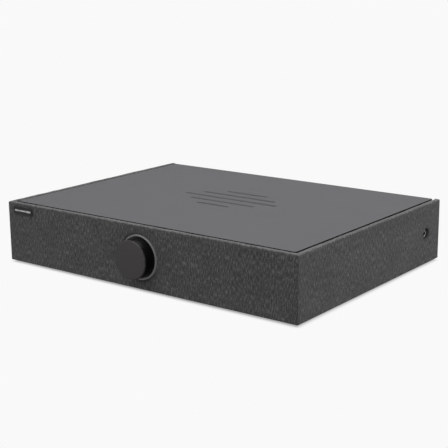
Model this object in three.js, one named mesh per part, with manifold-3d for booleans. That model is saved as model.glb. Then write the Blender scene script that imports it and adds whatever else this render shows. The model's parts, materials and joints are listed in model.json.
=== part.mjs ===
// One-piece stereo amplifier with built-in speakers, shaped as a low wide base for a record player.
// Units are millimetres. +X is the object's right side, +Y its back, +Z up, and z = 0 is the table.
import * as THREE from "three";
import { mergeVertices } from "three/addons/utils/BufferGeometryUtils.js";
import Module from "manifold-3d";

const wasm = await Module();
wasm.setup();

// ---------- driving dimensions ----------
const WIDTH = 460;
const DEPTH = 338;
const HEIGHT = 80; // from the fabric's lower edge to the top of its rim
const FOOT_CLEARANCE = 2.5;
const KNOB_PROUD = 16.2;
const GAP = 0.3; // between pieces that rest against each other

const FABRIC_THICKNESS = 1;
const FABRIC_CORNER_RADIUS = 2;
const RIM_TONGUE = 4.2; // wood or plastic under the fabric rim
const RIM_DROP = 6; // how far the fabric turns down inside the rim
const HEM_WIDTH = 12; // fabric folded under the bottom panel
const REAR_HEM_WIDTH = 14; // fabric folded round onto the back

const PANEL_THICKNESS = 12;
const BOARD_THICKNESS = 9;
const PLATE_THICKNESS = 2;
const PAD_THICKNESS = 1.8;
const PLATE_BELOW_RIM = 0.1;
const PLATE_GAP = 2.6; // dark slot between the plate and the fabric rim
const PLATE_REAR_SETBACK = 3;

const GRILLE_TO_BAFFLE = 6.3;
const CHAMBER_WALL_X = 95; // inner faces of the walls beside the electronics bay
const SPEAKER_X = 160;
const TWEETER_X = 118;

const KNOB_RADIUS = 25.2;
const KNOB_WALL = 2.4;
const KNOB_HEIGHT = 40; // knob axis above the fabric's lower edge
const RING_OUTER = 28.2;
const RING_INNER = 25.8;
const KNOB_TRAVEL = 0.5;

const HEADPHONE_FROM_REAR = 37;
const HEADPHONE_HEIGHT = 40.4;

const IO_RECESS = 14.8; // outer face of the connector plate, in front of the fabric's rear face
const IO_HEIGHT = 38; // height of the connectors above the table

// ---------- levels that follow from them ----------
const FRONT = KNOB_PROUD - (DEPTH + KNOB_PROUD) / 2;
const REAR = FRONT + DEPTH;
const MIDDLE_Y = (FRONT + REAR) / 2;
const TOP = FOOT_CLEARANCE + HEIGHT;
const SKIN = FABRIC_THICKNESS + GAP;
const CARCASS_X = WIDTH / 2 - SKIN;
const CARCASS_BOTTOM = FOOT_CLEARANCE + SKIN;
const CARCASS_TOP = TOP - SKIN;
const CARCASS_REAR = REAR - SKIN;
const RIM_WIDTH = 2 * SKIN + RIM_TONGUE;
const FRAME_BACK = FRONT + SKIN + RIM_TONGUE;
const FLOOR_TOP = CARCASS_BOTTOM + BOARD_THICKNESS;
const PLATE_BOTTOM = TOP - PLATE_BELOW_RIM - PLATE_THICKNESS;
const PAD_BOTTOM = PLATE_BOTTOM - GAP - PAD_THICKNESS;
const LID_TOP = PAD_BOTTOM - GAP;
const LID_BOTTOM = LID_TOP - BOARD_THICKNESS;
const WALL_BOTTOM = FLOOR_TOP + GAP;
const WALL_TOP = LID_BOTTOM - GAP;
const SIDE_INNER_X = CARCASS_X - PANEL_THICKNESS;
const BAFFLE_FRONT = FRAME_BACK + GRILLE_TO_BAFFLE;
const BAFFLE_BACK = BAFFLE_FRONT + PANEL_THICKNESS;
const REAR_PANEL_OUTER = REAR - 2.5;
const REAR_PANEL_INNER = REAR_PANEL_OUTER - PANEL_THICKNESS;
const PLATE_HALF_X = WIDTH / 2 - RIM_WIDTH - PLATE_GAP;
const PLATE_FRONT = FRONT + RIM_WIDTH + PLATE_GAP;
const PLATE_REAR = REAR - PLATE_REAR_SETBACK;
const KNOB_Z = FOOT_CLEARANCE + KNOB_HEIGHT;
const DRIVER_Z = (WALL_BOTTOM + WALL_TOP) / 2;
const IO_OUTER = REAR - IO_RECESS;
const IO_THICKNESS = 1.5;
const IO_INNER = IO_OUTER - IO_THICKNESS;
const SLACK = 1; // how far a cutting solid runs past the faces it cuts
const COARSE = 24; // sides of an ordinary round piece
const FINE = 40; // sides of the knob and its ring

// ---------- geometry helpers ----------
const group = new THREE.Group();

function material(color, roughness, metalness = 0) {
  return new THREE.MeshStandardMaterial({ color, roughness, metalness });
}

const finishes = {
  fabric: () => material(0x46464a, 0.95),
  plate: () => material(0x6f7175, 0.42, 0.6),
  wood: () => material(0x8a6f52, 0.8),
  darkWood: () => material(0x232325, 0.7),
  plastic: () => material(0x18181a, 0.55),
  knob: () => material(0x3c3a3b, 0.45, 0.3),
  frosted: () => material(0xb9bcc0, 0.35),
  foam: () => material(0x1b1b1c, 0.95),
  rubber: () => material(0x151516, 0.9),
  steel: () => material(0x9a9ca0, 0.35, 0.9),
  blackSteel: () => material(0x1d1e20, 0.5, 0.5),
  brass: () => material(0xb08d4a, 0.35, 0.9),
  aluminium: () => material(0xa9abad, 0.4, 0.9),
  magnet: () => material(0x2a2a2c, 0.6, 0.4),
  cone: () => material(0x1f2023, 0.85),
  circuitBoard: () => material(0x1f5a38, 0.5),
  component: () => material(0x2b2c30, 0.5),
  capacitor: () => material(0x22304f, 0.4),
  wire: () => material(0x8f2a26, 0.6),
};

function add(name, geometry, finish, parent = group) {
  const mesh = new THREE.Mesh(geometry, finishes[finish]());
  mesh.name = name;
  parent.add(mesh);
  return mesh;
}

function subgroup(x, y, z) {
  const place = new THREE.Group();
  place.position.set(x, y, z);
  group.add(place);
  return place;
}

function toSolid(geometry) {
  const bare = geometry.clone();
  bare.deleteAttribute("normal");
  bare.deleteAttribute("uv");
  const merged = mergeVertices(bare);
  const vertProperties = new Float32Array(merged.attributes.position.array);
  const triVerts = new Uint32Array(merged.index.array);
  return new wasm.Manifold(new wasm.Mesh({ numProp: 3, vertProperties, triVerts }));
}

function toGeometry(solid) {
  const mesh = solid.getMesh();
  const geometry = new THREE.BufferGeometry();
  geometry.setAttribute("position", new THREE.BufferAttribute(new Float32Array(mesh.vertProperties), 3));
  geometry.setIndex(new THREE.BufferAttribute(new Uint32Array(mesh.triVerts), 1));
  geometry.computeVertexNormals();
  return geometry;
}

function join(...geometries) {
  return toGeometry(geometries.map(toSolid).reduce((sum, solid) => sum.add(solid)));
}

function cut(geometry, ...tools) {
  return toGeometry(tools.map(toSolid).reduce((rest, tool) => rest.subtract(tool), toSolid(geometry)));
}

// A box given by its low and high corner.
function block(x0, y0, z0, x1, y1, z1) {
  const box = new THREE.BoxGeometry(x1 - x0, y1 - y0, z1 - z0);
  return box.translate((x0 + x1) / 2, (y0 + y1) / 2, (z0 + z1) / 2);
}

// A body of revolution about Y: the profile runs counter-clockwise in (radius, y).
function turned(profile, segments = COARSE) {
  return new THREE.LatheGeometry(profile.map(([r, y]) => new THREE.Vector2(r, y)), segments);
}

// A plain rod or disc along Y.
function rod(radius, y0, y1, segments = COARSE) {
  return turned([[0, y0], [radius, y0], [radius, y1], [0, y1]], segments);
}

// A tube along Y.
function pipe(inner, outer, y0, y1, segments = COARSE) {
  return turned([[inner, y0], [outer, y0], [outer, y1], [inner, y1], [inner, y0]], segments);
}

// A rectangle with round corners, centred on the origin of its own plane.
function roundedRectangle(width, height, radius) {
  const x = width / 2 - radius;
  const y = height / 2 - radius;
  const shape = new THREE.Shape();
  shape.absarc(x, -y, radius, -Math.PI / 2, 0);
  shape.absarc(x, y, radius, 0, Math.PI / 2);
  shape.absarc(-x, y, radius, Math.PI / 2, Math.PI);
  shape.absarc(-x, -y, radius, Math.PI, 1.5 * Math.PI);
  shape.closePath();
  return shape;
}

// An upright prism between two heights, from an outline in X and Y.
function prismZ(shape, z0, z1, curveSegments = 4) {
  const geometry = new THREE.ExtrudeGeometry(shape, { depth: z1 - z0, bevelEnabled: false, curveSegments });
  return geometry.translate(0, 0, z0);
}

// A prism from front to back, from an outline in X and Z.
function prismY(shape, y0, y1, curveSegments = 4) {
  const geometry = new THREE.ExtrudeGeometry(shape, { depth: y1 - y0, bevelEnabled: false, curveSegments });
  return geometry.rotateX(Math.PI / 2).translate(0, y1, 0);
}

// A prism from left to right, from an outline in Y and Z.
function prismX(shape, x0, x1) {
  const geometry = new THREE.ExtrudeGeometry(shape, { depth: x1 - x0, bevelEnabled: false });
  const turn = new THREE.Matrix4().makeBasis(
    new THREE.Vector3(0, 1, 0),
    new THREE.Vector3(0, 0, 1),
    new THREE.Vector3(1, 0, 0),
  );
  return geometry.applyMatrix4(turn).translate(x0, 0, 0);
}

function polygon(points) {
  return new THREE.Shape(points.map(([x, y]) => new THREE.Vector2(x, y)));
}

// A box on one side of the middle, given by its distances from the middle.
function sideBlock(side, xInner, xOuter, y0, y1, z0, z1) {
  const [low, high] = side > 0 ? [xInner, xOuter] : [-xOuter, -xInner];
  return block(low, y0, z0, high, y1, z1);
}

// ---------- cabinet ----------
const SIDES = [-1, 1];
const SIDE_NAMES = { "-1": "left", "1": "right" };
const WOOFER_CUTOUT = 22.5;
const TWEETER_CUTOUT = 12.4;
const PORT_OUTER = 15;
const LID_OVERHANG = 0.8; // how far the lid board reaches past the plate
const LEAD_HOLE = { y: -60, z: 52, radius: 4 };
const HEADPHONE_Y = REAR - HEADPHONE_FROM_REAR;
const HEADPHONE_Z = FOOT_CLEARANCE + HEADPHONE_HEIGHT;
const HEADPHONE_HOLE = 8.9;

function boreY(x, z, radius, y0, y1, segments = COARSE) {
  return rod(radius, y0 - SLACK, y1 + SLACK, segments).translate(x, 0, z);
}

function boreX(y, z, radius, x0, x1, segments = COARSE) {
  return rod(radius, x0 - SLACK, x1 + SLACK, segments).rotateZ(-Math.PI / 2).translate(0, y, z);
}

function bottomPanel() {
  return block(-CARCASS_X, FRAME_BACK + GAP, CARCASS_BOTTOM, CARCASS_X, CARCASS_REAR, FLOOR_TOP);
}

// A side panel with the rebate for the lid inside its thin upper tongue.
function sidePanel(side) {
  const y0 = FRAME_BACK + GAP;
  const panel = sideBlock(side, SIDE_INNER_X, CARCASS_X, y0, CARCASS_REAR, WALL_BOTTOM, CARCASS_TOP);
  const rebate = sideBlock(
    side, SIDE_INNER_X - SLACK, CARCASS_X - RIM_TONGUE,
    y0 - SLACK, CARCASS_REAR + SLACK, WALL_TOP, CARCASS_TOP + SLACK,
  );
  return cut(panel, rebate);
}

function frontBaffle() {
  const halfX = SIDE_INNER_X - GAP;
  const board = block(-halfX, BAFFLE_FRONT, WALL_BOTTOM, halfX, BAFFLE_BACK, WALL_TOP);
  const holes = SIDES.flatMap((side) => [
    boreY(side * SPEAKER_X, DRIVER_Z, WOOFER_CUTOUT, BAFFLE_FRONT, BAFFLE_BACK),
    boreY(side * TWEETER_X, DRIVER_Z, TWEETER_CUTOUT, BAFFLE_FRONT, BAFFLE_BACK),
  ]);
  return cut(board, ...holes);
}

function rearPanel(side) {
  const panel = sideBlock(
    side, CHAMBER_WALL_X - GAP, SIDE_INNER_X - GAP,
    REAR_PANEL_INNER, REAR_PANEL_OUTER, WALL_BOTTOM, WALL_TOP,
  );
  return cut(panel, boreY(side * SPEAKER_X, DRIVER_Z, PORT_OUTER + GAP, REAR_PANEL_INNER, REAR_PANEL_OUTER));
}

// The wall between a speaker chamber and the electronics bay, with a hole for the speaker lead.
function chamberWall(side) {
  const outerX = CHAMBER_WALL_X + BOARD_THICKNESS;
  const wall = sideBlock(
    side, CHAMBER_WALL_X, outerX, BAFFLE_BACK + GAP, REAR_PANEL_INNER - GAP, WALL_BOTTOM, WALL_TOP,
  );
  const hole = boreX(LEAD_HOLE.y, LEAD_HOLE.z, LEAD_HOLE.radius, CHAMBER_WALL_X, outerX);
  return cut(wall, side > 0 ? hole : hole.translate(-CHAMBER_WALL_X - outerX, 0, 0));
}

function lidBoard() {
  const halfX = PLATE_HALF_X + LID_OVERHANG;
  return block(-halfX, PLATE_FRONT - LID_OVERHANG, LID_BOTTOM, halfX, REAR_PANEL_OUTER, LID_TOP);
}

// One flat layer of the top: the plate itself or the pad under it.
function topLayer(inset, z0, z1) {
  const outline = roundedRectangle(2 * (PLATE_HALF_X - inset), PLATE_REAR - PLATE_FRONT - 2 * inset, 2);
  return prismZ(outline, z0, z1).translate(0, (PLATE_FRONT + PLATE_REAR) / 2, 0);
}

function addCabinet() {
  const headphoneHole = boreX(HEADPHONE_Y, HEADPHONE_Z, HEADPHONE_HOLE, SIDE_INNER_X, CARCASS_X);
  add("bottom_panel", bottomPanel(), "darkWood");
  add("left_side_panel", sidePanel(-1), "wood");
  add("right_side_panel", cut(sidePanel(1), headphoneHole), "wood");
  add("front_baffle", frontBaffle(), "wood");
  for (const side of SIDES) {
    add(`${SIDE_NAMES[side]}_rear_panel`, rearPanel(side), "darkWood");
    add(`${SIDE_NAMES[side]}_chamber_wall`, chamberWall(side), "wood");
  }
  add("lid_board", lidBoard(), "darkWood");
  add("isolation_pad", topLayer(LID_OVERHANG, PAD_BOTTOM, PAD_BOTTOM + PAD_THICKNESS), "foam");
  add("top_plate", topLayer(0, PLATE_BOTTOM, PLATE_BOTTOM + PLATE_THICKNESS), "plate");
}

// ---------- fabric, grille frame, feet and badge ----------
const RING_HOLE = RING_OUTER + 0.4;
const BADGE = { x: -201, height: 10, width: 34, z: FOOT_CLEARANCE + 70.8, thickness: 1.2 };
const FOOT = { x: 195, y: 135, radius: 16, height: FOOT_CLEARANCE + FABRIC_THICKNESS };

// The upright wall of fabric whose outside is `inset` inside the cabinet's outline.
function fabricBand(inset, thickness, z0, z1) {
  const inner = inset + thickness;
  const foldRadius = 0.8;
  const outerRadius = inset > 0 ? foldRadius : FABRIC_CORNER_RADIUS;
  const shape = roundedRectangle(WIDTH - 2 * inset, DEPTH - 2 * inset, outerRadius);
  shape.holes.push(roundedRectangle(WIDTH - 2 * inner, DEPTH - 2 * inner, foldRadius));
  return prismZ(shape, z0, z1, 3).translate(0, MIDDLE_Y, 0);
}

// Fabric round the left side, front and right side, turned in over the rim and under the bottom.
function fabricWrap() {
  const wall = fabricBand(0, FABRIC_THICKNESS, FOOT_CLEARANCE, TOP);
  const rim = fabricBand(0, RIM_WIDTH, TOP - FABRIC_THICKNESS, TOP);
  const turnDown = fabricBand(
    RIM_WIDTH - FABRIC_THICKNESS, FABRIC_THICKNESS, TOP - RIM_DROP, TOP - FABRIC_THICKNESS / 2,
  );
  const hem = fabricBand(0, HEM_WIDTH, FOOT_CLEARANCE, FOOT_CLEARANCE + FABRIC_THICKNESS);
  const rimX = WIDTH / 2 - RIM_WIDTH;
  const hemX = WIDTH / 2 - REAR_HEM_WIDTH;
  const openBack = block(-hemX, REAR - 2 * HEM_WIDTH, 0, hemX, REAR + SLACK, TOP + SLACK);
  const openLid = block(-rimX, REAR - 2 * HEM_WIDTH, WALL_TOP, rimX, REAR + SLACK, TOP + SLACK);
  const ringHole = boreY(0, KNOB_Z, RING_HOLE, FRONT, FRONT + FABRIC_THICKNESS, FINE);
  const headphoneHole = boreX(
    HEADPHONE_Y, HEADPHONE_Z, HEADPHONE_HOLE, WIDTH / 2 - FABRIC_THICKNESS, WIDTH / 2,
  );
  return cut(join(wall, rim, turnDown, hem), openBack, openLid, ringHole, headphoneHole);
}

// The stiff board that carries the front fabric, open before each driver and round the knob.
function grilleFrame() {
  const front = FRONT + SKIN;
  const board = block(-CARCASS_X, front, CARCASS_BOTTOM, CARCASS_X, FRAME_BACK, CARCASS_TOP);
  const holes = SIDES.flatMap((side) => [
    boreY(side * SPEAKER_X, DRIVER_Z, WOOFER_CUTOUT, front, FRAME_BACK),
    boreY(side * TWEETER_X, DRIVER_Z, TWEETER_CUTOUT, front, FRAME_BACK),
  ]);
  return cut(board, boreY(0, KNOB_Z, RING_HOLE, front, FRAME_BACK, FINE), ...holes);
}

function foot() {
  const { radius, height } = FOOT;
  const profile = [[0, 0], [radius - 1, 0], [radius, 1], [radius, height], [0, height]];
  return turned(profile).rotateX(Math.PI / 2);
}

function addCovering() {
  add("fabric_wrap", fabricWrap(), "fabric");
  add("grille_frame", grilleFrame(), "plastic");
  const outline = roundedRectangle(BADGE.width, BADGE.height, 0.8);
  const badge = add("badge", prismY(outline, -BADGE.thickness, 0), "plastic");
  badge.position.set(BADGE.x, FRONT - GAP, BADGE.z);
  const corners = { front_left: [-1, -1], front_right: [1, -1], rear_left: [-1, 1], rear_right: [1, 1] };
  for (const [corner, [sideX, sideY]] of Object.entries(corners)) {
    const mesh = add(`foot_${corner}`, foot(), "rubber");
    mesh.position.set(sideX * FOOT.x, MIDDLE_Y + sideY * FOOT.y, 0);
  }
}

// ---------- volume control: y = 0 is the fabric's front face, negative is towards the user ----------
const SHAFT_RADIUS = 3;
const SHAFT_BORE = SHAFT_RADIUS + GAP;
const BEHIND_FRAME = FRAME_BACK - FRONT; // where the ring, dish and encoder end
const CONTROL_BOARD = { radius: 29, thickness: 1.6 };
const BUSHING_FRONT = -6;
const KNOB_FACE_THICKNESS = 2;

function volumeKnob() {
  const face = -KNOB_PROUD;
  const rear = 0.5;
  const hub = 5.5;
  const hubRear = BUSHING_FRONT - 1.5;
  const ceiling = face + KNOB_FACE_THICKNESS;
  const faceRadius = KNOB_RADIUS - 1.8;
  const inside = KNOB_RADIUS - KNOB_WALL;
  const profile = [
    [0, face], [faceRadius, face], [faceRadius + 0.6, face + 0.3], [faceRadius + 0.9, face + 1],
    [KNOB_RADIUS, rear], [inside, rear], [inside, ceiling],
    [hub, ceiling], [hub, hubRear], [SHAFT_BORE, hubRear], [SHAFT_BORE, ceiling], [0, ceiling],
  ];
  return turned(profile, FINE);
}

function encoderBody() {
  const half = 6.5;
  const canFront = -2;
  const can = block(-half, canFront, -half, half, BEHIND_FRAME, half);
  const bushing = rod(4.5, BUSHING_FRONT, canFront + SLACK);
  return cut(join(can, bushing), boreY(0, 0, SHAFT_BORE, BUSHING_FRONT, BEHIND_FRAME));
}

function addVolumeControl() {
  const place = subgroup(0, FRONT, KNOB_Z);
  const boardFront = BEHIND_FRAME + GAP;
  const shaftFront = KNOB_FACE_THICKNESS + 0.7 - KNOB_PROUD;
  const shaftRear = 1;
  add("light_ring", pipe(RING_INNER, RING_OUTER, -0.8, BEHIND_FRAME, FINE), "frosted", place);
  add("knob_dish", pipe(9.8, RING_INNER - GAP, 2.2, BEHIND_FRAME, FINE), "plastic", place);
  const board = rod(CONTROL_BOARD.radius, boardFront, boardFront + CONTROL_BOARD.thickness);
  add("control_board", board, "circuitBoard", place);
  add("encoder_body", encoderBody(), "steel", place);
  add("push_plunger", rod(2.8, shaftRear + GAP, BEHIND_FRAME - 2 * KNOB_TRAVEL), "plastic", place);
  add("encoder_shaft", rod(SHAFT_RADIUS, shaftFront, shaftRear), "aluminium", place);
  add("volume_knob", volumeKnob(), "knob", place);
}

// ---------- loudspeakers: y = 0 is the front of a driver's flange ----------
const FLANGE_THICKNESS = 2.9;
const FLANGE_FRONT = BAFFLE_FRONT - GAP - FLANGE_THICKNESS;
const BASKET_DEPTH = 24.5;
const COIL_GROOVE_END = BASKET_DEPTH + 9.3;

function wooferBasket() {
  const wall = 1.3;
  const tube = WOOFER_CUTOUT - 0.4;
  const waist = 12;
  const neck = 20.5;
  const magnetSeat = 10.4;
  return turned([
    [tube + 0.3, 0], [27, 0], [27, FLANGE_THICKNESS], [tube, FLANGE_THICKNESS], [tube, waist],
    [neck, BASKET_DEPTH], [magnetSeat, BASKET_DEPTH], [magnetSeat, BASKET_DEPTH - wall],
    [neck - wall, BASKET_DEPTH - wall], [tube - wall, waist], [tube - wall, 2.2], [tube + 0.3, 2.2],
    [tube + 0.3, 0],
  ]);
}

// A half-roll rubber surround between the basket and the cone.
function wooferSurround() {
  const centre = 19.6;
  const base = 0.8;
  const lip = base + 1;
  const thirds = [0, 1 / 3, 2 / 3, 1];
  const roll = (radius, start, end) => thirds.map((part) => {
    const angle = start + part * (end - start);
    return [centre + radius * Math.cos(angle), base + radius * Math.sin(angle)];
  });
  const outside = roll(1.9, Math.PI, 2 * Math.PI);
  const inside = roll(1.1, 2 * Math.PI, Math.PI);
  return turned([
    ...outside, [22.1, base], [22.1, lip], [20.7, lip],
    ...inside, [18.5, lip], [17.7, lip], [17.7, base],
  ]);
}

// The cone, its dust cap and the voice coil's tube are glued together and move as one.
function wooferCone() {
  const coilEnd = BASKET_DEPTH + 6;
  return turned([
    [0, 4.8], [4, 5.4], [7.4, 7.6], [17.4, 0.9], [17.4, 1.9],
    [8.6, 9.2], [8.6, coilEnd], [8, coilEnd], [8, 9], [4, 6.4], [0, 5.8],
  ]);
}

function wooferMagnet() {
  const front = BASKET_DEPTH + GAP;
  const back = front + 16;
  return turned([
    [0, front], [7.3, front], [7.3, COIL_GROOVE_END], [9.3, COIL_GROOVE_END], [9.3, front],
    [20, front], [20, back], [0, back],
  ]);
}

function tweeterBody() {
  const mouth = 8.6;
  const seat = 6;
  return turned([
    [0, seat], [mouth, seat], [mouth, 0], [14, 0], [14, FLANGE_THICKNESS],
    [12, FLANGE_THICKNESS], [12, 22], [0, 22],
  ]);
}

function tweeterDome() {
  return turned([
    [0, 1.2], [3, 1.6], [6, 3], [8.3, 5.4], [8.3, 5.7], [7.2, 5.7], [5.4, 3.9], [2.7, 2.5], [0, 2.1],
  ]);
}

function portTube() {
  const bore = PORT_OUTER - 1.8;
  const inner = REAR_PANEL_OUTER - 84;
  const seat = REAR_PANEL_OUTER + GAP;
  const mouth = seat + 1.2;
  return turned([
    [bore, inner], [PORT_OUTER, inner], [PORT_OUTER, seat], [18.5, seat], [18.5, mouth],
    [bore + 1.4, mouth], [bore, mouth - 3], [bore, inner],
  ]);
}

// A lead from the amplifier board through the chamber wall to the woofer's terminals.
function speakerLead(side) {
  const start = side < 0 ? new THREE.Vector3(-70, 52, 30) : new THREE.Vector3(-8, 52, 30);
  const bend = side < 0 ? new THREE.Vector3(-76, 20, 48) : new THREE.Vector3(36, 16, 50);
  const terminalY = FRONT + 28;
  const points = [
    start,
    bend,
    new THREE.Vector3(side * (CHAMBER_WALL_X - 6), LEAD_HOLE.y, LEAD_HOLE.z),
    new THREE.Vector3(side * (CHAMBER_WALL_X + 15), LEAD_HOLE.y, LEAD_HOLE.z),
    new THREE.Vector3(side * 124, -74, 51),
    new THREE.Vector3(side * 128, -110, 46),
    new THREE.Vector3(side * 137.6, terminalY, DRIVER_Z),
  ];
  const section = new THREE.Shape().absarc(0, 0, 1.5, 0, 2 * Math.PI);
  const extrudePath = new THREE.CatmullRomCurve3(points);
  const options = { steps: 28, curveSegments: 4, bevelEnabled: false, extrudePath };
  return new THREE.ExtrudeGeometry(section, options);
}

function addLoudspeakers() {
  for (const side of SIDES) {
    const name = SIDE_NAMES[side];
    const woofer = subgroup(side * SPEAKER_X, FLANGE_FRONT, DRIVER_Z);
    add(`${name}_woofer_basket`, wooferBasket(), "blackSteel", woofer);
    add(`${name}_woofer_surround`, wooferSurround(), "rubber", woofer);
    add(`${name}_woofer_cone`, wooferCone(), "cone", woofer);
    add(`${name}_woofer_magnet`, wooferMagnet(), "magnet", woofer);
    const tweeter = subgroup(side * TWEETER_X, FLANGE_FRONT, DRIVER_Z);
    add(`${name}_tweeter_body`, tweeterBody(), "plastic", tweeter);
    add(`${name}_tweeter_dome`, tweeterDome(), "cone", tweeter);
    add(`${name}_port_tube`, portTube().translate(side * SPEAKER_X, 0, DRIVER_Z), "plastic");
    add(`${name}_speaker_lead`, speakerLead(side), "wire");
  }
}

// ---------- electronics ----------
const TRAY_TOP = WALL_BOTTOM + 1.2;
const STANDOFF = 5;
const PCB_THICKNESS = 1.6;
const PCB_BOTTOM = TRAY_TOP + STANDOFF + GAP;
const PCB_TOP = PCB_BOTTOM + PCB_THICKNESS;
const PARTS_BOTTOM = PCB_TOP + GAP;
const BOARD_Y = [40, IO_INNER - 3];
const AMPLIFIER_X = [-84, 6];
const SUPPLY_X = [14, 84];

function uprightRod(radius, x, y, z0, z1, segments = COARSE) {
  return rod(radius, z0, z1, segments).rotateX(Math.PI / 2).translate(x, y, 0);
}

// The sheet-steel tray with pressed standoffs under the corners of both boards.
function chassisTray() {
  const tray = block(-88, -10, WALL_BOTTOM, 88, IO_INNER - GAP, TRAY_TOP);
  const standoffs = [...AMPLIFIER_X, ...SUPPLY_X].flatMap((x, index) => BOARD_Y.map((y, row) => {
    const inwardX = index % 2 === 0 ? 5 : -5;
    const inwardY = row === 0 ? 5 : -5;
    return uprightRod(3, x + inwardX, y + inwardY, TRAY_TOP - 0.5, TRAY_TOP + STANDOFF, 12);
  }));
  return join(tray, ...standoffs);
}

function heatSink() {
  const fins = 8;
  const pitch = 6.5;
  const fin = 2;
  const base = 4;
  const top = 32;
  const outline = [[0, 0], [(fins - 1) * pitch + fin, 0]];
  for (let index = fins - 1; index >= 0; index -= 1) {
    const x = index * pitch;
    outline.push([x + fin, top], [x, top]);
    if (index > 0) outline.push([x, base], [x - pitch + fin, base]);
  }
  return prismY(polygon(outline), 64, 94).translate(-78, 0, PARTS_BOTTOM);
}

function addElectronics() {
  const z = PARTS_BOTTOM;
  add("chassis_tray", chassisTray(), "steel");
  add("amplifier_board", block(AMPLIFIER_X[0], BOARD_Y[0], PCB_BOTTOM, AMPLIFIER_X[1], BOARD_Y[1], PCB_TOP),
    "circuitBoard");
  add("power_supply_board", block(SUPPLY_X[0], BOARD_Y[0], PCB_BOTTOM, SUPPLY_X[1], BOARD_Y[1], PCB_TOP),
    "circuitBoard");
  add("heat_sink", heatSink(), "aluminium");
  add("wireless_module", block(-80, 104, z, -58, 134, z + 3), "steel");
  add("phono_stage_shield", block(-50, 108, z, -14, 138, z + 11), "steel");
  add("mains_transformer", block(30, 66, z, 62, 96, z + 26), "component");
  add("filter_capacitor", uprightRod(11, 46, 118, z, z + 32), "capacitor");
}

// ---------- connector plate: each connector is built round x = 0, z = 0 ----------
const JACKS_X = -28;
const GROUND_X = -66;
const INPUT_SWITCH_X = 10;
const POWER_SWITCH_X = 40;
const INLET_X = 68;
const JACK_PITCH = 7; // half the spacing of the jacks
const JACK_RADIUS = 4.15;
const STUD_RADIUS = 2;
const SLIDER = { width: 4, halfHeight: 1.8 };
const ROCKER_TILT = THREE.MathUtils.degToRad(8);
const ROCKER_PIVOT_Y = IO_OUTER - 2.2;
const JACK_PLACES = SIDES.flatMap((sideX) => SIDES.map((sideZ) => [sideX * JACK_PITCH, sideZ * JACK_PITCH]));
const FLANGE_SEAT = IO_OUTER + GAP;

function ioPlate() {
  const halfX = CHAMBER_WALL_X - 2 * GAP;
  const plate = block(-halfX, IO_INNER, WALL_BOTTOM, halfX, IO_OUTER, WALL_TOP);
  const window = (x, halfWidth, halfHeight) => block(
    x - halfWidth, IO_INNER - SLACK, IO_HEIGHT - halfHeight,
    x + halfWidth, IO_OUTER + SLACK, IO_HEIGHT + halfHeight,
  );
  const jackHoles = JACK_PLACES.map(([x, z]) => (
    boreY(JACKS_X + x, IO_HEIGHT + z, JACK_RADIUS + GAP, IO_INNER, IO_OUTER, 16)
  ));
  return cut(
    plate, ...jackHoles,
    boreY(GROUND_X, IO_HEIGHT, STUD_RADIUS + GAP, IO_INNER, IO_OUTER, 16),
    window(INPUT_SWITCH_X, 4.9, 2.3), window(POWER_SWITCH_X, 6.5, 9.5), window(INLET_X, 12.3, 8.3),
  );
}

function jackBlock() {
  const front = IO_INNER - GAP;
  const tip = IO_OUTER + 9;
  const body = block(-16, front - 12, -16, 16, front, 16);
  const barrels = JACK_PLACES.map(([x, z]) => rod(JACK_RADIUS, front - SLACK, tip, 16).translate(x, 0, z));
  const bores = JACK_PLACES.map(([x, z]) => boreY(x, z, 1.7, IO_OUTER, tip, 8));
  return cut(join(body, ...barrels), ...bores);
}

function groundPost() {
  const stud = rod(STUD_RADIUS, IO_INNER - 6, IO_OUTER + 9, 16);
  const innerNut = rod(4, IO_INNER - 3, IO_INNER - GAP, 16);
  const collar = rod(4.5, FLANGE_SEAT, IO_OUTER + 2.3, 16);
  return join(stud, innerNut, collar);
}

function groundThumbNut() {
  const ridges = 12;
  const points = Array.from({ length: 2 * ridges }, (_, index) => {
    const angle = (index / ridges) * Math.PI;
    const radius = index % 2 === 0 ? 4.8 : 4.4;
    return [radius * Math.cos(angle), radius * Math.sin(angle)];
  });
  const shape = polygon(points);
  shape.holes.push(new THREE.Path().absarc(0, 0, STUD_RADIUS + GAP, 0, 2 * Math.PI));
  return prismY(shape, IO_OUTER + 2.6, IO_OUTER + 7.6, 16);
}

// A two-pin mains inlet with a stadium-shaped mouth.
function mainsInlet() {
  const rim = prismY(roundedRectangle(28, 20, 2), FLANGE_SEAT, FLANGE_SEAT + 1.5);
  const body = block(-12, IO_OUTER - 18, -8, 12, FLANGE_SEAT + 0.5, 8);
  const mouth = prismY(roundedRectangle(18.6, 9.4, 4.6), IO_OUTER - 12, IO_OUTER + 3, 6);
  const pins = SIDES.map((side) => rod(1.2, IO_OUTER - 13, IO_OUTER - 2, 12).translate(side * 4.3, 0, 0));
  return join(cut(join(rim, body), mouth), ...pins);
}

function powerSwitchFrame() {
  const rim = prismY(roundedRectangle(15, 21, 1), FLANGE_SEAT, FLANGE_SEAT + 1.5);
  const body = block(-6.2, IO_OUTER - 14, -9.2, 6.2, FLANGE_SEAT + 0.5, 9.2);
  return cut(join(rim, body), block(-5, IO_OUTER - 9, -8.2, 5, IO_OUTER + 3, 8.2));
}

// The rocker round its own pivot: a shallow V whose ends stand a little proud of the frame.
function powerRocker() {
  const profile = polygon([[-1.5, -7.2], [4.4, -7.2], [3, 0], [4.4, 7.2], [-1.5, 7.2]]);
  return prismX(profile, -4.6, 4.6);
}

function inputSwitchBody() {
  const front = IO_INNER - GAP;
  const body = block(-8, front - 8, -3.6, 8, front, 3.6);
  return cut(body, block(-5.2, front - 5, -2.2, 5.2, front + SLACK, 2.2));
}

// The slider stands at the left end of its slot.
function inputSlider() {
  const { width, halfHeight } = SLIDER;
  return block(-width, IO_INNER - GAP - 4.6, -halfHeight, 0, IO_OUTER + 3, halfHeight);
}

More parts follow.
